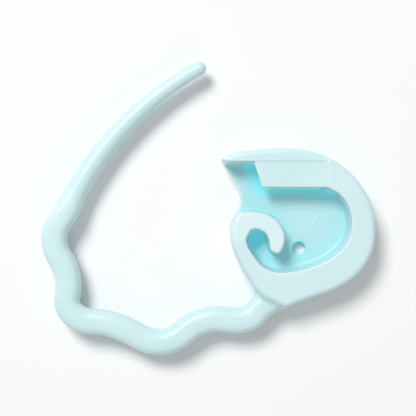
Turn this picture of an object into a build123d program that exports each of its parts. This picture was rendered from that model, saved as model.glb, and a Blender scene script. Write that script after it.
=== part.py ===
from build123d import *
import os

os.makedirs("parts", exist_ok=True)

# Locking stitch marker, moulded open and lying on its flat back.
# Millimetres. +Z is up, out of the front face. +X runs along the keeper
# bridge, from the corner of the loop towards the latch head.

# ---------------------------------------------------------------- dimensions
head_height = 2.65          # back face to top of the rim
floor_thickness = 0.70      # web behind the recess
bridge_thickness = 0.70     # roof over the pin channel
arm_width = 1.68            # wavy arm, seen from the front
arm_height = 1.80           # wavy arm, through the thickness
mid_height = 1.325          # height of the arm's and the pin's centre line
edge_round = 0.55           # rounding of the arm's long edges
rim_round = 0.28            # rounding of the head's outer edges
socket_gap = 0.08           # clearance round each flexure's knuckle
hole_radius = 0.45          # small round hole through the floor
pin_root_width = 1.50       # pin where it leaves the corner
pin_tip_width = 0.92        # pin just behind its rounded point
pin_shaft_share = 0.72      # part of the pin's length in the plain shaft

arm_bottom = mid_height - arm_height / 2
knuckle_radius = arm_width / 2

# The back's outline, from the beak round the outside to the neck, then from
# the crotch up the chin and the mouth lip back to the beak.
outer_side = [(1.01, 3.37), (1.53, 3.62), (2.50, 3.82), (3.95, 3.95), (5.40, 3.97),
              (6.56, 3.84), (7.72, 3.45), (8.74, 2.87), (9.61, 2.11), (10.33, 1.13),
              (10.85, -0.03), (11.03, -1.34), (10.88, -2.64), (10.33, -3.80),
              (9.40, -4.76), (8.30, -5.40), (7.14, -5.82), (6.03, -6.20),
              (5.44, -6.45), (5.02, -6.54)]
chin_side = [(3.22, -5.54), (2.74, -4.82), (2.10, -3.80), (1.60, -2.64), (1.46, -1.48),
             (1.61, -0.76), (1.96, -0.16), (2.16, 0.46), (2.00, 1.24), (1.48, 2.20),
             (0.94, 3.06)]
beak_point = (0.86, 3.23)

# Inner side of the rim: far end of the channel, round the recess, up the pit.
channel_wall_y = 3.04
bridge_end_x = 7.87
bridge_edge_y = 1.33
bridge_notch_x = (2.99, 3.57)      # slanted end, at the wall and at the free edge
window_centre = (5.68, 2.20)       # window through the floor, hidden by the bridge
window_size = (3.90, 1.68)
window_corner = 0.30
mouth_lip = (1.46, -1.28)          # where the rim ends at the curl's root
mouth_outside_x = 0.28             # the recess is open towards this side
recess_side = [(7.87, 1.33), (8.68, 0.84), (9.23, -0.03), (9.40, -1.19), (9.03, -2.35),
               (8.16, -3.22), (7.00, -3.80), (5.69, -4.15), (4.53, -4.21), (3.60, -3.86),
               (2.99, -3.16), (2.59, -2.50), (2.56, -1.92)]

# Curl: a hooked rib that starts on the chin and curls round the pit.
curl_outer = [(1.61, -0.76), (1.92, -0.40), (2.41, -0.26), (3.08, -0.24), (3.95, -0.44),
              (4.65, -0.96), (5.01, -1.71), (4.96, -2.44)]
curl_tip = (4.60, -2.98)
curl_inner = [(4.10, -2.76), (3.98, -2.15), (3.78, -1.71), (3.37, -1.45), (2.88, -1.45),
              (2.56, -1.92)]

hole_centre = (6.07, -2.71)

# Centre line of the wavy arm as tangent arcs (radius, turn), neck to pin root.
neck_hinge = (3.72, -6.41)
neck_direction = (-0.80, -0.60)
neck_centre = (4.27, -5.9975)
shoulder_arcs = [(3.26, 13.4), (1.28, -33.4), (2.81, -28.0), (3.02, 26.2)]
second_arcs = [(3.42, 27.8), (2.36, -39.4), (2.68, -34.1), (8.70, 10.8)]
third_arcs = [(4.71, 19.1), (2.00, -43.2), (1.23, -57.95), (3.31, 23.74)]
corner_arcs = [(3.71, 20.7), (2.22, -34.0), (2.15, -34.71), (6.97, 10.38)]

# Pin: bowed outwards, one long arc from its root to its point.
pin_length = 12.57
pin_turn = -35.8


def centre_line(start, direction, arcs):
    """Tangent arcs one after another; returns the wire and its far end."""
    with BuildLine() as line:
        edge = JernArc(start=start, tangent=direction, radius=arcs[0][0], arc_size=arcs[0][1])
        for radius, turn in arcs[1:]:
            edge = JernArc(start=edge @ 1, tangent=edge % 1, radius=radius, arc_size=turn)
        end, heading = edge @ 1, edge % 1
    return line.wires()[0], end, heading


shoulder_line, hinge_1, heading_1 = centre_line(neck_hinge, neck_direction, shoulder_arcs)
second_line, hinge_2, heading_2 = centre_line(hinge_1, heading_1, second_arcs)
third_line, hinge_3, heading_3 = centre_line(hinge_2, heading_2, third_arcs)
corner_line, hinge_4, heading_4 = centre_line(hinge_3, heading_3, corner_arcs)

# ---------------------------------------------------------------- latch head
# Floor: the flat back of the head, with the window under the bridge and the
# small round hole.
with BuildPart() as latch_floor:
    with BuildSketch(Plane.XY):
        with BuildLine():
            outside = Spline(*outer_side)
            chin = Spline(*chin_side)
            Line(outside @ 1, chin @ 0)
            ThreePointArc(chin @ 1, beak_point, outside @ 0)
        make_face()
    extrude(amount=floor_thickness)
    back_edges = latch_floor.faces().sort_by(Axis.Z)[0].outer_wire().edges()
    fillet(back_edges.sort_by(SortBy.LENGTH)[-1], radius=rim_round)
    with BuildSketch(Plane.XY):
        with Locations(window_centre):
            RectangleRounded(window_size[0], window_size[1], radius=window_corner)
    extrude(amount=floor_thickness, mode=Mode.SUBTRACT)
    with Locations((hole_centre[0], hole_centre[1], floor_thickness)):
        Hole(radius=hole_radius, depth=floor_thickness)
    # room for the neck, which runs into the head at mid height
    with BuildSketch(Plane.XY.offset(arm_bottom)):
        SlotCenterPoint(neck_centre, neck_hinge, arm_width)
    extrude(amount=arm_height, mode=Mode.SUBTRACT)
latch_floor.part.label = "latch_floor"

# Rim: the wall round the recess. It is open at the mouth, between the beak
# and the curl, where the pin goes in.
with BuildPart() as latch_rim:
    with BuildSketch(Plane.XY.offset(floor_thickness)):
        with BuildLine():
            outside = Spline(*outer_side)
            chin = Spline(*chin_side)
            Line(outside @ 1, chin @ 0)
            ThreePointArc(chin @ 1, beak_point, outside @ 0)
        make_face()
    extrude(amount=head_height - floor_thickness)
    front_edges = latch_rim.faces().sort_by(Axis.Z)[-1].outer_wire().edges()
    fillet(front_edges.sort_by(SortBy.LENGTH)[-1], radius=rim_round)
    with BuildSketch(Plane.XY.offset(floor_thickness)):
        with BuildLine():
            inside = Spline(*recess_side)
            Polyline(inside @ 1, mouth_lip, (mouth_outside_x, mouth_lip[1]),
                     (mouth_outside_x, channel_wall_y), (bridge_end_x, channel_wall_y),
                     inside @ 0)
        make_face()
    extrude(amount=head_height, mode=Mode.SUBTRACT)
    with BuildSketch(Plane.XY.offset(arm_bottom)):
        SlotCenterPoint(neck_centre, neck_hinge, arm_width)
    extrude(amount=arm_height, mode=Mode.SUBTRACT)
latch_rim.part.label = "latch_rim"

# Keeper bridge: the roof that holds the pin's point in the channel. It hangs
# on the outer wall and the far end of the rim; its other edges are free.
with BuildPart() as keeper_bridge:
    with BuildSketch(Plane.XY.offset(head_height - bridge_thickness)):
        with BuildLine():
            Polyline((bridge_notch_x[0], channel_wall_y), (bridge_notch_x[1], bridge_edge_y),
                     (bridge_end_x, bridge_edge_y), (bridge_end_x, channel_wall_y), close=True)
        make_face()
    extrude(amount=bridge_thickness)
    fillet(keeper_bridge.edges().filter_by(Axis.X).sort_by(Axis.Y)[:2], radius=0.15)
keeper_bridge.part.label = "keeper_bridge"

# Curl: stands on the floor.
with BuildPart() as curl_rib:
    with BuildSketch(Plane.XY.offset(floor_thickness)):
        with BuildLine():
            hook_outside = Spline(*curl_outer)
            hook_inside = Spline(*curl_inner)
            ThreePointArc(hook_outside @ 1, curl_tip, hook_inside @ 0)
            Polyline(hook_inside @ 1, mouth_lip, hook_outside @ 0)
        make_face()
    extrude(amount=head_height - floor_thickness)
curl_rib.part.label = "curl_rib"

# Neck: the root of the arm, let into the head; its round end is the first
# flexure's knuckle.
with BuildPart() as neck:
    with BuildSketch(Plane.XY.offset(arm_bottom)):
        SlotCenterPoint(neck_centre, neck_hinge, arm_width)
    extrude(amount=arm_height)
neck.part.label = "neck"

# ---------------------------------------------------------------- wavy arm
# Each lobe ends in a round knuckle at its far flexure and has a matching
# socket at its near one.
with BuildPart() as shoulder_lobe:
    with BuildSketch(Plane.XY.offset(arm_bottom)):
        SlotArc(shoulder_line, arm_width)
    extrude(amount=arm_height)
    fillet(shoulder_lobe.faces().filter_by(Axis.Z).edges(), radius=edge_round)
    with Locations((neck_hinge[0], neck_hinge[1], mid_height)):
        Cylinder(radius=knuckle_radius + socket_gap, height=2 * arm_height, mode=Mode.SUBTRACT)
shoulder_lobe.part.label = "shoulder_lobe"

with BuildPart() as second_lobe:
    with BuildSketch(Plane.XY.offset(arm_bottom)):
        SlotArc(second_line, arm_width)
    extrude(amount=arm_height)
    fillet(second_lobe.faces().filter_by(Axis.Z).edges(), radius=edge_round)
    with Locations((hinge_1.X, hinge_1.Y, mid_height)):
        Cylinder(radius=knuckle_radius + socket_gap, height=2 * arm_height, mode=Mode.SUBTRACT)
second_lobe.part.label = "second_lobe"

with BuildPart() as third_lobe:
    with BuildSketch(Plane.XY.offset(arm_bottom)):
        SlotArc(third_line, arm_width)
    extrude(amount=arm_height)
    fillet(third_lobe.faces().filter_by(Axis.Z).edges(), radius=edge_round)
    with Locations((hinge_2.X, hinge_2.Y, mid_height)):
        Cylinder(radius=knuckle_radius + socket_gap, height=2 * arm_height, mode=Mode.SUBTRACT)
third_lobe.part.label = "third_lobe"

with BuildPart() as corner_lobe:
    with BuildSketch(Plane.XY.offset(arm_bottom)):
        SlotArc(corner_line, arm_width)
    extrude(amount=arm_height)
    fillet(corner_lobe.faces().filter_by(Axis.Z).edges(), radius=edge_round)
    with Locations((hinge_3.X, hinge_3.Y, mid_height)):
        Cylinder(radius=knuckle_radius + socket_gap, height=2 * arm_height, mode=Mode.SUBTRACT)
corner_lobe.part.label = "corner_lobe"

# ---------------------------------------------------------------- pin
# The pin's axis is one arc at mid height; its round section tapers.
pin_radius = pin_length / abs(pin_turn) * 57.29578
with BuildLine() as pin_axis:
    JernArc(start=(hinge_4.X, hinge_4.Y), tangent=(heading_4.X, heading_4.Y),
            radius=pin_radius, arc_size=pin_turn)
pin_curve = pin_axis.edges()[0]
split_point = pin_curve @ pin_shaft_share
split_heading = pin_curve % pin_shaft_share
pin_point = pin_curve @ 1
split_width = pin_root_width + (pin_tip_width - pin_root_width) * pin_shaft_share

with BuildLine(Plane.XY.offset(mid_height)) as shaft_axis:
    JernArc(start=(hinge_4.X, hinge_4.Y), tangent=(heading_4.X, heading_4.Y),
            radius=pin_radius, arc_size=pin_turn * pin_shaft_share)

with BuildPart() as pin_shaft:
    for place, width in ((0, pin_root_width), (1, split_width)):
        at = shaft_axis.line @ place
        along = shaft_axis.line % place
        with BuildSketch(Plane(origin=at, x_dir=(0, 0, 1), z_dir=along)):
            Circle(width / 2)
    sweep(path=shaft_axis.line, multisection=True)
    with Locations((hinge_4.X, hinge_4.Y, mid_height)):
        Cylinder(radius=knuckle_radius + socket_gap, height=2 * arm_height, mode=Mode.SUBTRACT)
pin_shaft.part.label = "pin_shaft"

with BuildLine(Plane.XY.offset(mid_height)) as tip_axis:
    JernArc(start=(split_point.X, split_point.Y), tangent=(split_heading.X, split_heading.Y),
            radius=pin_radius, arc_size=pin_turn * (1 - pin_shaft_share))

with BuildPart() as pin_tip:
    for place, width in ((0, split_width), (1, pin_tip_width)):
        at = tip_axis.line @ place
        along = tip_axis.line % place
        with BuildSketch(Plane(origin=at, x_dir=(0, 0, 1), z_dir=along)):
            Circle(width / 2)
    sweep(path=tip_axis.line, multisection=True)
    with Locations((pin_point.X, pin_point.Y, mid_height)):
        Sphere(radius=pin_tip_width / 2)
pin_tip.part.label = "pin_tip"

# ---------------------------------------------------------------- files
for piece in (latch_floor, latch_rim, keeper_bridge, curl_rib, neck, shoulder_lobe,
              second_lobe, third_lobe, corner_lobe, pin_shaft, pin_tip):
    export_step(piece.part, f"parts/{piece.part.label}.step")
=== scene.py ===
import math

import bpy
import numpy as np
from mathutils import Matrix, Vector


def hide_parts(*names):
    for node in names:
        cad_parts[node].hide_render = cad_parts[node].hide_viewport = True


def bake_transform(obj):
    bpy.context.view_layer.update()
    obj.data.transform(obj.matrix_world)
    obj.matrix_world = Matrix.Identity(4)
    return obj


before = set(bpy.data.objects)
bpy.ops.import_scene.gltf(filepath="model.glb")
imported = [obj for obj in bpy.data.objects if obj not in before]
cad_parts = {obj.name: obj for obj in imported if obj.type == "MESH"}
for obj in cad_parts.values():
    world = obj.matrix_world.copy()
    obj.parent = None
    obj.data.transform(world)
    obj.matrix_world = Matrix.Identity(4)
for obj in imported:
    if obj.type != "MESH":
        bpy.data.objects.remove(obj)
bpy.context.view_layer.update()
MM = 0.001

# ------------------------------------------------------------------ the shape
# Everything below is in millimetres, in the row's frame, with the sizes of
# part.py. The marker is one moulding, so its skin has no seams: the head and
# the neck are one closed surface, and the arm is cut only in the middle of
# its waves, where nothing bends.
HEAD_TOP, FLOOR_TOP = 2.65, 0.70
BRIDGE_TOP, BRIDGE_UNDER = 2.60, 1.95
MID = 1.325
ARM_HALF_WIDTH, ARM_HALF_HEIGHT, ARM_POWER = 0.84, 0.90, 2.9
PIN_ROOT, PIN_TIP, PIN_POWER = 0.75, 0.46, 2.0

OUTLINE = [(1.01, 3.37), (1.53, 3.62), (2.50, 3.82), (3.95, 3.95), (5.40, 3.97),
           (6.56, 3.84), (7.72, 3.45), (8.74, 2.87), (9.61, 2.11), (10.33, 1.13),
           (10.85, -0.03), (11.03, -1.34), (10.88, -2.64), (10.33, -3.80),
           (9.40, -4.76), (8.30, -5.40), (7.14, -5.82), (6.03, -6.20), (5.44, -6.45),
           (5.02, -6.54), (4.70, -6.42), (4.25, -6.20), (3.75, -5.98)]
CHIN = [(3.22, -5.54), (2.74, -4.82), (2.10, -3.80), (1.60, -2.64), (1.46, -1.48),
        (1.61, -0.76), (1.96, -0.16), (2.16, 0.46), (2.00, 1.24), (1.48, 2.20),
        (0.94, 3.06)]
BEAK = (0.86, 3.23)
WALL_Y, BRIDGE_END, BRIDGE_EDGE = 3.04, 7.87, 1.33
RECESS = [(7.87, 1.33), (8.68, 0.84), (9.23, -0.03), (9.40, -1.19), (9.03, -2.35),
          (8.16, -3.22), (7.00, -3.80), (5.69, -4.15), (4.53, -4.21), (3.60, -3.86),
          (2.99, -3.16), (2.62, -2.55), (2.50, -1.95), (2.44, -1.45)]
CURL = [(1.30, -1.12), (1.61, -0.76), (1.92, -0.40), (2.41, -0.26), (3.08, -0.24), (3.95, -0.44),
        (4.65, -0.96), (5.01, -1.71), (4.96, -2.44), (4.60, -2.98), (4.10, -2.76),
        (3.98, -2.15), (3.78, -1.71), (3.37, -1.45), (2.88, -1.45), (2.56, -1.92), (2.24, -2.39)]
HOLE, HOLE_RADIUS = (6.07, -2.71), 0.45
WINDOW = (5.68, 2.20, 1.95, 0.84, 0.30)      # centre, half sizes and corner radius
NECK = (3.72, -6.41)
ARCS = [(3.26, 13.4), (1.28, -33.4), (2.81, -28.0), (3.02, 26.2),
        (3.42, 27.8), (2.36, -39.4), (2.68, -34.1), (8.70, 10.8),
        (4.71, 19.1), (2.00, -43.2), (1.23, -57.95), (3.31, 23.74),
        (3.71, 20.7), (2.22, -34.0), (2.15, -34.71), (6.97, 10.38)]
PIN_LENGTH, PIN_TURN = 12.57, -35.8
STEP = 0.062


def curve_through(points, spacing=0.03):
    """A smooth line through the points (centripetal Catmull-Rom)."""
    p = np.array(points, float)
    p = np.vstack([2 * p[0] - p[1], p, 2 * p[-1] - p[-2]])
    out = []
    for a, b, c, d in zip(p[:-3], p[1:-2], p[2:-1], p[3:]):
        t0 = 0.0
        t1 = t0 + np.linalg.norm(b - a) ** 0.5
        t2 = t1 + np.linalg.norm(c - b) ** 0.5
        t3 = t2 + np.linalg.norm(d - c) ** 0.5
        n = max(2, int(np.linalg.norm(c - b) / spacing))
        t = np.linspace(t1, t2, n, endpoint=False)[:, None]
        a1 = (t1 - t) / (t1 - t0) * a + (t - t0) / (t1 - t0) * b
        a2 = (t2 - t) / (t2 - t1) * b + (t - t1) / (t2 - t1) * c
        a3 = (t3 - t) / (t3 - t2) * c + (t - t2) / (t3 - t2) * d
        b1 = (t2 - t) / (t2 - t0) * a1 + (t - t0) / (t2 - t0) * a2
        b2 = (t3 - t) / (t3 - t1) * a2 + (t - t1) / (t3 - t1) * a3
        out.append((t2 - t) / (t2 - t1) * b1 + (t - t1) / (t2 - t1) * b2)
    out.append(p[-2][None])
    return np.vstack(out)


# Flat outlines are kept as distances on a fine grid over the head, and read
# back with a smooth spline, so that the walls have no facets.
CELL = 0.04
GRID_LO = np.array([-0.2, -9.6])
GRID_N = (302, 372)
GX = GRID_LO[0] + np.arange(GRID_N[0]) * CELL
GY = GRID_LO[1] + np.arange(GRID_N[1]) * CELL


def to_segments(p, a, b):
    """Distance from points to segments, with numpy's broadcasting."""
    ab = b - a
    ap = p - a
    t = np.clip((ap * ab).sum(-1) / (ab * ab).sum(-1), 0, 1)
    return np.sqrt(((ap - ab * t[..., None]) ** 2).sum(-1))


def distance_to(border):
    """Signed distance to a closed border at every node, negative inside."""
    corners = np.vstack([border, border[:1]]).astype(float)
    pts = [corners[0]]
    for q in corners[1:]:
        start = pts[-1]
        length = np.linalg.norm(q - start)
        if length > 1e-7:
            n = int(math.ceil(length / 0.05))
            pts += [start + (q - start) * i / n for i in range(1, n + 1)]
    a, b = np.array(pts[:-1]), np.array(pts[1:])
    gx, gy = np.meshgrid(GX, GY, indexing="ij")
    grid = np.stack([gx, gy], -1)
    mid = (a + b) / 2
    coarse = grid[::3, ::3].reshape(-1, 2)
    near = np.concatenate([np.argmin(((coarse[i:i + 2000, None] - mid) ** 2).sum(2), 1)
                           for i in range(0, len(coarse), 2000)])
    near = near.reshape(grid[::3, ::3].shape[:2]).repeat(3, 0).repeat(3, 1)[:GRID_N[0], :GRID_N[1]]
    dist = np.full(GRID_N, 1e9)
    for off in range(-10, 11):
        k = (near + off) % len(a)
        dist = np.minimum(dist, to_segments(grid, a[k], b[k]))
    inside = np.zeros(GRID_N, bool)
    for j, y in enumerate(GY):
        cross = (a[:, 1] > y) != (b[:, 1] > y)
        p, q = a[cross], b[cross]
        x = p[:, 0] + (y - p[:, 1]) / (q[:, 1] - p[:, 1]) * (q[:, 0] - p[:, 0])
        inside[:, j] = np.searchsorted(np.sort(x), GX) % 2 == 1
    return np.where(inside, -dist, dist)


def distance_from_line(line):
    """Distance from an open line at every node."""
    gx, gy = np.meshgrid(GX, GY, indexing="ij")
    grid = np.stack([gx.ravel(), gy.ravel()], -1)
    out = [to_segments(grid[i:i + 4000, None], line[:-1], line[1:]).min(1) for i in range(0, len(grid), 4000)]
    return np.concatenate(out).reshape(GRID_N)


def arm_line():
    """The arm's and the pin's middle line: points, headings and distances."""
    p, h = np.array(NECK, float), np.array([-0.8, -0.6])
    pts, heads, dist, marks = [p], [h], [0.0], [0.0]
    for radius, turn in ARCS + [(PIN_LENGTH / abs(PIN_TURN) * 180 / math.pi, PIN_TURN)]:
        a = math.radians(turn)
        n = max(8, int(abs(a) * radius / 0.03))
        centre = p + math.copysign(radius, a) * np.array([-h[1], h[0]])
        for i in range(1, n + 1):
            c, s = math.cos(a * i / n), math.sin(a * i / n)
            r = np.array([[c, -s], [s, c]])
            pts.append(centre + r @ (p - centre))
            heads.append(r @ h)
            dist.append(marks[-1] + abs(a) * radius * i / n)
        p, h = pts[-1], heads[-1]
        marks.append(dist[-1])
    return np.array(pts), np.array(heads), np.array(dist), marks


LINE, HEADING, ALONG, MARKS = arm_line()
S_NECK, S_V1, S_V2, S_V3, S_V4, S_END = 0.0, MARKS[4], MARKS[8], MARKS[12], MARKS[16], MARKS[17]
CUTS = [MARKS[3], MARKS[6], MARKS[10], MARKS[14]]   # in the middle of each wave


def on_line(s):
    s = np.asarray(s, float)
    x = np.interp(s, ALONG, LINE[:, 0])
    y = np.interp(s, ALONG, LINE[:, 1])
    hx = np.interp(s, ALONG, HEADING[:, 0])
    hy = np.interp(s, ALONG, HEADING[:, 1])
    n = np.hypot(hx, hy)
    return np.stack([x, y], -1), np.stack([hx / n, hy / n], -1)


def ease(t):
    t = np.clip(t, 0, 1)
    return t * t * (3 - 2 * t)


def section(s):
    """Half width, half height and squareness of the section at s."""
    s = np.asarray(s, float)
    to_pin = ease((s - (S_V4 - 0.9)) / 1.9)
    run = np.clip((s - S_V4) / (S_END - S_V4), 0, 1)
    pin = PIN_ROOT + (PIN_TIP - PIN_ROOT) * run
    a = ARM_HALF_WIDTH * (1 - to_pin) + pin * to_pin
    b = ARM_HALF_HEIGHT * (1 - to_pin) + pin * to_pin
    power = ARM_POWER + (PIN_POWER - ARM_POWER) * to_pin
    return a, b, power


# ------------------------------------------------------------------ head field
def round_out(a, b, r):
    """Where both are solid, with the edge rounded."""
    return np.minimum(-r, np.maximum(a, b)) + np.hypot(np.maximum(a + r, 0), np.maximum(b + r, 0))


def round_in(a, b, r):
    """Either solid, with the corner filled by a fillet."""
    return np.maximum(r, np.minimum(a, b)) - np.hypot(np.maximum(r - a, 0), np.maximum(r - b, 0))


NECK_LINE = np.vstack([np.array(NECK) + np.array([0.8, 0.6]) * t for t in np.linspace(1.6, 0.05, 32)]
                      + [LINE[ALONG <= MARKS[4] + 0.3]])
OVERLAP = 0.30
CUT_AT, CUT_DIR = on_line(CUTS[0])

FLAT = np.stack([
    distance_to(np.vstack([curve_through(OUTLINE + CHIN), curve_through([CHIN[-1], BEAK, OUTLINE[0]])])),
    distance_to(np.vstack([curve_through(RECESS), [(2.20, -1.10), (1.70, -0.95), (1.46, -1.00), (0.28, -1.00),
                                                   (0.28, WALL_Y), (BRIDGE_END, WALL_Y)]])),
    distance_to(np.vstack([curve_through(CURL), [(1.00, -2.20), (0.80, -1.40)]])),
    distance_to(np.array([(2.99, WALL_Y + 0.25), (2.99, WALL_Y), (3.57, BRIDGE_EDGE),
                          (BRIDGE_END + 0.25, BRIDGE_EDGE), (BRIDGE_END + 0.25, WALL_Y + 0.25)])),
    distance_from_line(NECK_LINE),
], -1)


def spline(t):
    return (1 - t) ** 3 / 6, (3 * t ** 3 - 6 * t ** 2 + 4) / 6, (-3 * t ** 3 + 3 * t ** 2 + 3 * t + 1) / 6, t ** 3 / 6


def flat_fields(x, y):
    """All distances that don't depend on the height."""
    u, v = (x.ravel() - GRID_LO[0]) / CELL, (y.ravel() - GRID_LO[1]) / CELL
    i = np.clip(np.floor(u).astype(int), 1, GRID_N[0] - 3)
    j = np.clip(np.floor(v).astype(int), 1, GRID_N[1] - 3)
    wu, wv = spline(u - i), spline(v - j)
    out = np.zeros((len(u), FLAT.shape[2]))
    for a in range(4):
        for b in range(4):
            out += (wu[a] * wv[b])[:, None] * FLAT[i + a - 1, j + b - 1]
    return (x, y, *(out[:, k].reshape(x.shape) for k in range(FLAT.shape[2])))


def head_field(flat, z):
    x, y, d, cut, rib_d, bridge_d, arm_d = flat
    # outer skin: a slight draft and a soft front edge. The back has a shallow
    # plateau inside its border, and has sunk a little behind the curl.
    wall = d + 0.03 * np.clip(z - 0.3, 0, None)
    back = 0.045 * ease((d + 1.15) / 0.10) - z
    back = back + 0.030 * ease((-rib_d - 0.02) / 0.25) * ease((-d - 1.3) / 0.3)
    outer = round_out(round_out(wall, z - HEAD_TOP, 0.34), back, 0.22)
    # inside it: the recess, open at the mouth, with a small radius where its
    # wall meets the floor, and the curl that stands in it
    pit = np.hypot((x - 3.24) / 0.40, (y + 2.10) / 0.62)
    mark = np.hypot(x - 8.05, y + 1.55)
    below = FLOOR_TOP - z - 0.30 * ease((1.35 - pit) / 0.7)
    below = below + 0.014 * (ease((mark - 1.00) / 0.08) - ease((mark - 1.12) / 0.08))
    hollow = round_out(cut + 0.085 * (HEAD_TOP - z), below, 0.20)
    rib = np.maximum(rib_d + 0.04 * (z - HEAD_TOP), 0.3 - z)
    inner = round_in(-hollow, rib, 0.12)
    body = round_out(outer, inner, 0.10 + 0.08 * ease((0.45 - rib_d) / 0.4) * ease((d + 0.3) / -0.3))
    # the bridge spans the channel
    top = round_out(bridge_d, z - BRIDGE_TOP, 0.13)
    top = round_out(top, BRIDGE_UNDER - z, 0.10)
    top = np.maximum(top, d + 0.3)
    body = round_in(body, top, 0.06)
    # openings through the floor
    cx, cy, hx, hy, r = WINDOW
    qx, qy = np.abs(x - cx) - (hx - r), np.abs(y - cy) - (hy - r)
    window = np.hypot(np.maximum(qx, 0), np.maximum(qy, 0)) + np.minimum(np.maximum(qx, qy), 0) - r
    shaft = np.maximum(window, z - (BRIDGE_UNDER - 0.02))
    body = round_out(body, -shaft, 0.06)
    hole = np.maximum(np.hypot(x - HOLE[0], y - HOLE[1]) - HOLE_RADIUS, z - 1.2)
    body = round_out(body, -hole, 0.08)
    # the neck grows out of the head, and goes on a little inside the next skin
    n = ARM_POWER
    arm = (((arm_d / ARM_HALF_WIDTH) ** n + (np.abs(z - MID) / ARM_HALF_HEIGHT) ** n) ** (1 / n) - 1) * ARM_HALF_WIDTH
    past = np.where((y < -6.0) & (x < 3.4), (x - CUT_AT[0]) * CUT_DIR[0] + (y - CUT_AT[1]) * CUT_DIR[1], -1.0)
    arm = arm + 0.004 * ease(past / 0.04) + 0.02 * ease((past - 0.04) / OVERLAP)
    arm = np.maximum(arm, past - OVERLAP)
    fillet = (0.34 + 0.26 * ease((2.20 - z) / 0.6)) * (0.1 + 0.9 * ease((d + 1.0) / 0.8))
    return round_in(body, arm, fillet)


def painted_shade(verts, normals):
    """Painted shade for the head: how shut in each spot is, from 0 in the open to 1; the material deepens the colour
    there and makes it glow a little. And a painted highlight, with a little wear, on sharp edges and the curl's top."""
    def field(p):
        return head_field(flat_fields(p[:, 0], p[:, 1]), p[:, 2])
    helper = np.where(np.abs(normals[:, 2:]) < 0.8, [0.0, 0.0, 1.0], [1.0, 0.0, 0.0])
    u = np.cross(normals, helper)
    u /= np.linalg.norm(u, axis=1)[:, None]
    v = np.cross(normals, u)
    looks = [(normals, 0.28)] + [(0.64 * normals + 0.77 * way, 0.18) for way in (u, -u, v, -v)]
    total = np.zeros(len(verts))
    for way, share in looks:
        for reach, weight in ((0.3, 0.25), (0.6, 0.25), (1.0, 0.28), (1.5, 0.22)):
            rise = reach * np.clip((way * normals).sum(1), 0.3, 1)
            total += share * weight * np.clip(1 - field(verts + way * reach) / rise, 0, 1)
    # painted highlight, with a little wear: paler on sharp convex edges
    edge_highlight_and_wear = np.clip(1 + field(verts - normals * 0.20) / 0.20, 0, 1)
    # painted shade: the recess, the space below the bridge, the pit and the ring round the hole get more of the
    # deeper colour
    x, y, z = verts.T
    _, _, d, cut, rib_d, bridge_d, _ = flat_fields(x, y)
    low = ease((HEAD_TOP - 0.15 - z) / 0.9) * (z > 0.25)
    recessed = ease(-cut / 0.3) * low
    below_bridge = ease((1.15 - bridge_d) / 1.2) * low * (z < BRIDGE_UNDER + 0.05)
    below_bridge = below_bridge * (1 - 0.55 * ease(-normals[:, 2] / 0.8))
    pit = ease((1.7 - np.hypot((x - 3.24) / 0.40, (y + 2.10) / 0.62)) / 0.9) * low
    by_hole = ease((HOLE_RADIUS + 0.42 - np.hypot(x - HOLE[0], y - HOLE[1])) / 0.45) * low
    inside = ease((-d - 0.08) / 0.15)
    tint = 0.42 * total + inside * (0.24 * recessed + 0.62 * below_bridge + 0.46 * pit + 0.30 * by_hole)
    # painted highlight on the curl's top, with the wear where yarn and pin rub over it: the palest of all
    edge_highlight_and_wear = np.maximum(edge_highlight_and_wear, 0.42 * ease((0.05 - rib_d) / 0.25) * ease((z - HEAD_TOP + 0.6) / 0.4))
    edge_highlight_and_wear = edge_highlight_and_wear * (1 - 0.9 * ease((HOLE_RADIUS + 0.35 - np.hypot(x - HOLE[0], y - HOLE[1])) / 0.15))
    return {"painted_shade": np.clip(tint, 0, 1), "edge_highlight_and_wear": edge_highlight_and_wear}


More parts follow.
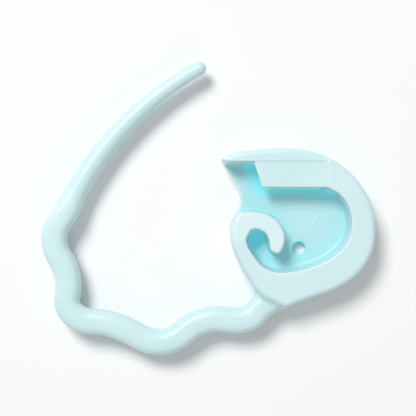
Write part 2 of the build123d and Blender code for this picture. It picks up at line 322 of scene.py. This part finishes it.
def surface(lo, hi, step):
    """Quads of the field's zero surface on a grid, then drawn onto it."""
    n = np.ceil((np.array(hi) - lo) / step).astype(int) + 1
    axes = [lo[i] + np.arange(n[i]) * step for i in range(3)]
    values = np.empty(n, np.float32)
    gx, gy = np.meshgrid(axes[0], axes[1], indexing="ij")
    flat = flat_fields(gx, gy)
    for k, z in enumerate(axes[2]):
        values[:, :, k] = head_field(flat, z)
    solid = values < 0
    cell_shape = n - 1
    total = np.zeros(cell_shape, np.float32)
    count = np.zeros(cell_shape, np.float32)
    where = np.zeros((*cell_shape, 3), np.float32)
    for axis in range(3):
        a = [slice(None)] * 3
        b = [slice(None)] * 3
        a[axis], b[axis] = slice(0, -1), slice(1, None)
        va, vb = values[tuple(a)], values[tuple(b)]
        cross = (va < 0) != (vb < 0)
        with np.errstate(divide="ignore", invalid="ignore"):
            t = np.where(cross, va / (va - vb), 0)
        others = [i for i in range(3) if i != axis]
        for da in (0, 1):
            for db in (0, 1):
                s = [slice(None)] * 3
                s[others[0]] = slice(da, da + cell_shape[others[0]])
                s[others[1]] = slice(db, db + cell_shape[others[1]])
                c = cross[tuple(s)]
                tt = t[tuple(s)]
                count += c
                where[..., axis] += np.where(c, tt, 0)
                where[..., others[0]] += c * da
                where[..., others[1]] += c * db
    used = count > 0
    number = np.full(cell_shape, -1, np.int64)
    number[used] = np.arange(used.sum())
    cells = np.argwhere(used)
    verts = (cells + where[used] / count[used][:, None]) * step + lo
    faces = []
    for axis in range(3):
        a = [slice(None)] * 3
        b = [slice(None)] * 3
        a[axis], b[axis] = slice(0, -1), slice(1, None)
        cross = solid[tuple(a)] != solid[tuple(b)]
        at = np.argwhere(cross)
        u, v = [i for i in range(3) if i != axis]
        ok = (at[:, u] > 0) & (at[:, v] > 0) & (at[:, u] < cell_shape[u]) & (at[:, v] < cell_shape[v])
        at = at[ok]
        ring = []
        for du, dv in ((-1, -1), (0, -1), (0, 0), (-1, 0)):
            c = at.copy()
            c[:, u] += du
            c[:, v] += dv
            ring.append(number[c[:, 0], c[:, 1], c[:, 2]])
        quad = np.stack(ring, 1)
        out = solid[tuple(a)][at[:, 0], at[:, 1], at[:, 2]]
        if axis == 1:
            out = ~out
        quad[~out] = quad[~out][:, ::-1]
        faces.append(quad)
    faces = np.vstack(faces)
    for _ in range(3):
        value, grad = slope_of(verts)
        size = (grad ** 2).sum(1)
        move = -(value / np.maximum(size, 0.2))[:, None] * grad
        length = np.linalg.norm(move, axis=1)
        move *= np.minimum(1, 0.5 * step / np.maximum(length, 1e-9))[:, None]
        verts = verts + move
    _, grad = slope_of(verts)
    normals = grad / np.maximum(np.linalg.norm(grad, axis=1), 1e-9)[:, None]
    return verts, faces, normals


def slope_of(p, eps=0.012):
    x, y, z = p.T
    here = flat_fields(x, y)
    value = head_field(here, z)
    gx = head_field(flat_fields(x + eps, y), z) - head_field(flat_fields(x - eps, y), z)
    gy = head_field(flat_fields(x, y + eps), z) - head_field(flat_fields(x, y - eps), z)
    gz = head_field(here, z + eps) - head_field(here, z - eps)
    return value, np.stack([gx, gy, gz], 1) / (2 * eps)


def piece(name, verts, faces, normals=None, flat_faces=0, spots=None):
    """A mesh object in metres. The last flat_faces faces are end caps."""
    mesh = bpy.data.meshes.new(name)
    mesh.from_pydata([tuple(v * MM) for v in verts], [], [tuple(int(i) for i in f if i >= 0) for f in faces])
    mesh.update()
    mesh.polygons.foreach_set("use_smooth", np.ones(len(mesh.polygons), bool))
    for key in ("painted_shade", "edge_highlight_and_wear"):
        layer = mesh.attributes.new(key, "FLOAT", "POINT")
        layer.data.foreach_set("value", np.array(spots[key] if spots else np.zeros(len(verts)), np.float32))
    if normals is not None:
        loops = np.empty(len(mesh.loops), np.int32)
        mesh.loops.foreach_get("vertex_index", loops)
        per_loop = np.array(normals)[loops]
        for poly in list(mesh.polygons)[len(mesh.polygons) - flat_faces:] if flat_faces else []:
            for k in poly.loop_indices:
                per_loop[k] = poly.normal
        mesh.normals_split_custom_set([tuple(v) for v in per_loop])
    obj = bpy.data.objects.new(name, mesh)
    bpy.context.scene.collection.objects.link(obj)
    return obj


# ------------------------------------------------------------------ arm skin
around = []
for k in range(4):
    base = k * math.pi / 2
    around += [base + math.pi / 2 * i / 14 for i in range(14)]
extra = [0.035, -0.035 + 2 * math.pi, math.pi - 0.035, math.pi + 0.035]
AROUND = np.array(sorted(around + extra))


def ring(s, shrink=0.0):
    """One section of the arm or pin, with the fine moulding line at its sides."""
    (x, y), (hx, hy) = on_line(s)
    a, b, n = (float(v) for v in section(s))
    side = np.array([-hy, hx])
    c, sn = np.cos(AROUND), np.sin(AROUND)
    r = (np.abs(c) ** n + np.abs(sn) ** n) ** (-1 / n)
    u, v = a * r * c, b * r * sn
    line = 0.018 * np.exp(-(v / 0.035) ** 2) * float(ease((s - CUTS[0] - 0.4) / 2.0))
    u = (u + np.sign(c) * line) * (1 - shrink)
    v = v * (1 - shrink)
    out = np.empty((len(AROUND), 3))
    out[:, 0] = x + side[0] * u
    out[:, 1] = y + side[1] * u
    out[:, 2] = MID + v
    return out


def ring_normals(s):
    """Normals of the whole arm's skin at s, the same whichever piece asks."""
    along = ring(s + 0.02) - ring(s - 0.02)
    here = ring(s)
    across_it = np.roll(here, -1, 0) - np.roll(here, 1, 0)
    out = np.cross(across_it, along)
    out /= np.linalg.norm(out, axis=1)[:, None]
    if ((here - here.mean(0)) * out).sum() < 0:
        out = -out
    return out


def skin(name, s0, s1, tip=False):
    """The arm's skin from s0 to s1. It goes on a little inside its neighbours,
    a hair smaller than they are, so that no gap shows at the cut."""
    steps = list(np.linspace(s0, s1, max(6, int((s1 - s0) / 0.10)) + 1))
    stations = [(s0 - OVERLAP, 0.015), (s0 - 0.12, 0.007), (s0 - 0.03, 0.003)] + [(s, 0.0) for s in steps]
    if not tip:
        stations += [(s1 + 0.03, 0.003), (s1 + 0.12, 0.007), (s1 + OVERLAP, 0.015)]
    rings = [ring(s, shrink) for s, shrink in stations]
    normals = [ring_normals(s) for s, _ in stations]
    k = len(AROUND)
    if tip:
        # a round point: rings that close in on the pole
        (cx, cy), heading = on_line(s1)
        a = float(section(s1)[0])
        forward = np.array([heading[0], heading[1], 0.0])
        centre = np.array([cx, cy, MID])
        base, base_normals = rings[-1], normals[-1]
        for i in range(1, 12):
            t = math.pi / 2 * i / 12
            rings.append(centre + (base - centre) * math.cos(t) + forward * a * math.sin(t))
            turned = base_normals * math.cos(t) + forward * math.sin(t)
            normals.append(turned / np.linalg.norm(turned, axis=1)[:, None])
    verts, nrm = np.vstack(rings), np.vstack(normals)
    faces = [(i * k + j, i * k + (j + 1) % k, (i + 1) * k + (j + 1) % k, (i + 1) * k + j)
             for i in range(len(rings) - 1) for j in range(k)]
    last = (len(rings) - 1) * k
    if tip:
        verts = np.vstack([verts, centre + forward * a])
        nrm = np.vstack([nrm, forward])
        faces += [(last + j, last + (j + 1) % k, len(verts) - 1) for j in range(k)]
        caps = [tuple(range(k))[::-1]]
    else:
        caps = [tuple(range(k))[::-1], tuple(last + j for j in range(k))]
    faces += caps
    f = faces[0]
    if np.cross(verts[f[1]] - verts[f[0]], verts[f[2]] - verts[f[0]]) @ nrm[f[0]] < 0:
        faces = [tuple(reversed(face)) for face in faces]
    return piece(name, verts, faces, nrm, flat_faces=len(caps))


# ------------------------------------------------------------------ materials
def node(tree, kind, at, **values):
    n = tree.nodes.new(kind)
    n.location = at
    for key, value in values.items():
        setattr(n, key, value)
    return n


def aqua_plastic():
    mat = bpy.data.materials.new("aqua_plastic")
    mat.use_nodes = True
    t = mat.node_tree
    t.nodes.clear()
    out = node(t, "ShaderNodeOutputMaterial", (900, 0))
    bsdf = node(t, "ShaderNodeBsdfPrincipled", (600, 0))
    bsdf.inputs["IOR"].default_value = 1.49
    bsdf.inputs["Specular IOR Level"].default_value = 0.4
    t.links.new(bsdf.outputs[0], out.inputs[0])
    co = node(t, "ShaderNodeTexCoord", (-1100, 0))
    # flow of the melt: very soft, stretched clouds of a slightly different tint
    flow = node(t, "ShaderNodeTexNoise", (-1050, 250))
    flow.inputs["Scale"].default_value = 260
    flow.inputs["Detail"].default_value = 3
    flow.inputs["Roughness"].default_value = 0.45
    t.links.new(co.outputs["Object"], flow.inputs["Vector"])
    tint = node(t, "ShaderNodeValToRGB", (-800, 250))
    tint.color_ramp.elements[0].position = 0.30
    tint.color_ramp.elements[0].color = (0.605, 0.830, 0.850, 1)
    tint.color_ramp.elements[1].position = 0.72
    tint.color_ramp.elements[1].color = (0.660, 0.860, 0.885, 1)
    t.links.new(flow.outputs["Fac"], tint.inputs["Fac"])
    # painted shade: a deeper colour in the shut-in spots, standing in for the light that reaches them through and off
    # more plastic
    shade_attr = node(t, "ShaderNodeAttribute", (-1050, 520), attribute_name="painted_shade")
    shade_ramp = node(t, "ShaderNodeValToRGB", (-800, 520))
    shade_ramp.color_ramp.elements[0].position = 0.0
    shade_ramp.color_ramp.elements[0].color = (0, 0, 0, 1)
    shade_ramp.color_ramp.elements[1].position = 0.95
    shade_ramp.color_ramp.elements[1].color = (1, 1, 1, 1)
    t.links.new(shade_attr.outputs["Fac"], shade_ramp.inputs["Fac"])
    inner = node(t, "ShaderNodeMixRGB", (-480, 300))
    inner.inputs["Color2"].default_value = (0.150, 0.580, 0.640, 1)
    t.links.new(shade_ramp.outputs["Color"], inner.inputs["Fac"])
    t.links.new(tint.outputs["Color"], inner.inputs["Color1"])
    # painted light: the shut-in spots glow a little, standing in for the light that comes through the thin walls and
    # the bridge
    painted_glow = node(t, "ShaderNodeMapRange", (-250, 650), interpolation_type="SMOOTHSTEP")
    painted_glow.inputs["From Min"].default_value = 0.20
    painted_glow.inputs["From Max"].default_value = 1.00
    painted_glow.inputs["To Min"].default_value = 0.0
    painted_glow.inputs["To Max"].default_value = 0.40
    t.links.new(shade_ramp.outputs["Color"], painted_glow.inputs["Value"])
    bsdf.inputs["Emission Color"].default_value = (0.17, 0.57, 0.62, 1)
    t.links.new(painted_glow.outputs[0], bsdf.inputs["Emission Strength"])
    # painted highlight, with a little wear, on the edges and the curl's top: a touch paler there
    highlight_attr = node(t, "ShaderNodeAttribute", (-1050, 820), attribute_name="edge_highlight_and_wear")
    edge_highlight_and_wear = node(t, "ShaderNodeValToRGB", (-800, 820))
    edge_highlight_and_wear.color_ramp.elements[0].position = 0.10
    edge_highlight_and_wear.color_ramp.elements[0].color = (0, 0, 0, 1)
    edge_highlight_and_wear.color_ramp.elements[1].position = 0.70
    edge_highlight_and_wear.color_ramp.elements[1].color = (0.70, 0.70, 0.70, 1)
    t.links.new(highlight_attr.outputs["Fac"], edge_highlight_and_wear.inputs["Fac"])
    highlight_and_wear_mix = node(t, "ShaderNodeMixRGB", (-200, 300))
    highlight_and_wear_mix.inputs["Color2"].default_value = (0.83, 0.95, 0.965, 1)
    t.links.new(edge_highlight_and_wear.outputs["Color"], highlight_and_wear_mix.inputs["Fac"])
    t.links.new(inner.outputs["Color"], highlight_and_wear_mix.inputs["Color1"])
    t.links.new(highlight_and_wear_mix.outputs["Color"], bsdf.inputs["Base Color"])
    # satin skin: patches of differing gloss, fine grain and a slight waviness
    patch = node(t, "ShaderNodeTexNoise", (-800, -100))
    patch.inputs["Scale"].default_value = 900
    patch.inputs["Detail"].default_value = 4
    t.links.new(co.outputs["Object"], patch.inputs["Vector"])
    rough = node(t, "ShaderNodeMapRange", (-550, -100))
    rough.inputs["From Min"].default_value = 0.30
    rough.inputs["From Max"].default_value = 0.70
    rough.inputs["To Min"].default_value = 0.27
    rough.inputs["To Max"].default_value = 0.38
    t.links.new(patch.outputs["Fac"], rough.inputs["Value"])
    t.links.new(rough.outputs["Result"], bsdf.inputs["Roughness"])
    grain = node(t, "ShaderNodeTexNoise", (-800, -400))
    grain.inputs["Scale"].default_value = 4200
    grain.inputs["Detail"].default_value = 3
    t.links.new(co.outputs["Object"], grain.inputs["Vector"])
    sink = node(t, "ShaderNodeTexNoise", (-800, -650))
    sink.inputs["Scale"].default_value = 250
    sink.inputs["Detail"].default_value = 1
    t.links.new(co.outputs["Object"], sink.inputs["Vector"])
    fine = node(t, "ShaderNodeBump", (150, -400))
    fine.inputs["Strength"].default_value = 0.05
    fine.inputs["Distance"].default_value = 0.00002
    t.links.new(grain.outputs["Fac"], fine.inputs["Height"])
    soft = node(t, "ShaderNodeBump", (350, -400))
    soft.inputs["Strength"].default_value = 0.09
    soft.inputs["Distance"].default_value = 0.00003
    t.links.new(sink.outputs["Fac"], soft.inputs["Height"])
    t.links.new(fine.outputs["Normal"], soft.inputs["Normal"])
    t.links.new(soft.outputs["Normal"], bsdf.inputs["Normal"])
    return mat


def paper():
    mat = bpy.data.materials.new("white_table")
    mat.use_nodes = True
    t = mat.node_tree
    bsdf = t.nodes["Principled BSDF"]
    bsdf.inputs["Base Color"].default_value = (0.93, 0.93, 0.935, 1)
    bsdf.inputs["Roughness"].default_value = 0.75
    return mat


plastic = aqua_plastic()

# ------------------------------------------------------------------ pieces
verts, faces, normals = surface(np.array([0.45, -8.85, -0.15]), np.array([11.35, 4.35, 2.90]), STEP)
skin_head = piece("head_and_neck", verts, faces, normals, spots=painted_shade(verts, normals))

bends = [
    ("arm_first_bend", CUTS[0], CUTS[1], S_V1, "shoulder", "second"),
    ("arm_second_bend", CUTS[1], CUTS[2], S_V2, "second", "third"),
    ("arm_corner_bend", CUTS[2], CUTS[3], S_V3, "third", "corner"),
]
arm = [skin(name, s0, s1) for name, s0, s1, *_ in bends]
pin = skin("pin_and_root", CUTS[3], S_END, tip=True)

for obj in [skin_head, *arm, pin]:
    obj.data.materials.append(plastic)

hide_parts("latch_floor", "latch_rim", "keeper_bridge", "curl_rib", "neck")
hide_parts("shoulder_lobe")
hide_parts("second_lobe")
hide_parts("third_lobe")
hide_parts("corner_lobe", "pin_shaft", "pin_tip")


def across(obj, s, heading=None):
    at, along = on_line(s)
    along = np.array(heading) if heading is not None else along
    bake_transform(obj)


across(skin_head, S_NECK, (-0.8, -0.6))
across(arm[0], S_V1)
across(arm[1], S_V2)
across(arm[2], S_V3)
across(pin, S_V4)

# ------------------------------------------------------------------ the set
bpy.ops.mesh.primitive_plane_add(size=2.0, location=(0, 0, -0.00002))
table = bpy.context.object
table.name = "table"
table.data.materials.append(paper())


def area(name, where, target, size, power, colour=(1, 1, 1)):
    data = bpy.data.lights.new(name, "AREA")
    data.shape = "DISK"
    data.size = size
    data.energy = power
    data.color = colour
    lamp = bpy.data.objects.new(name, data)
    lamp.location = where
    lamp.rotation_euler = (Vector(target) - Vector(where)).to_track_quat("-Z", "Y").to_euler()
    bpy.context.scene.collection.objects.link(lamp)
    return lamp


area("key", (-0.14, 0.215, 0.36), (0, 0, 0), 0.17, 1.43)
area("fill", (0.10, -0.30, 0.28), (0, 0, 0), 0.30, 0.22)

world = bpy.data.worlds.new("studio")
world.use_nodes = True
world.node_tree.nodes["Background"].inputs["Color"].default_value = (1, 1, 1, 1)
world.node_tree.nodes["Background"].inputs["Strength"].default_value = 0.37
bpy.context.scene.world = world

scene = bpy.context.scene
scene.view_settings.view_transform = "Standard"
scene.view_settings.look = "None"
scene.view_settings.exposure = 0.0

cam_data = bpy.data.cameras.new("camera")
cam_data.lens = 100
cam_data.clip_start = 0.01
cam_data.clip_end = 10
cam = bpy.data.objects.new("camera", cam_data)
cam.location = (0.0, 0.0, 0.078)
cam.rotation_euler = (0, 0, 0)
scene.collection.objects.link(cam)
scene.camera = cam
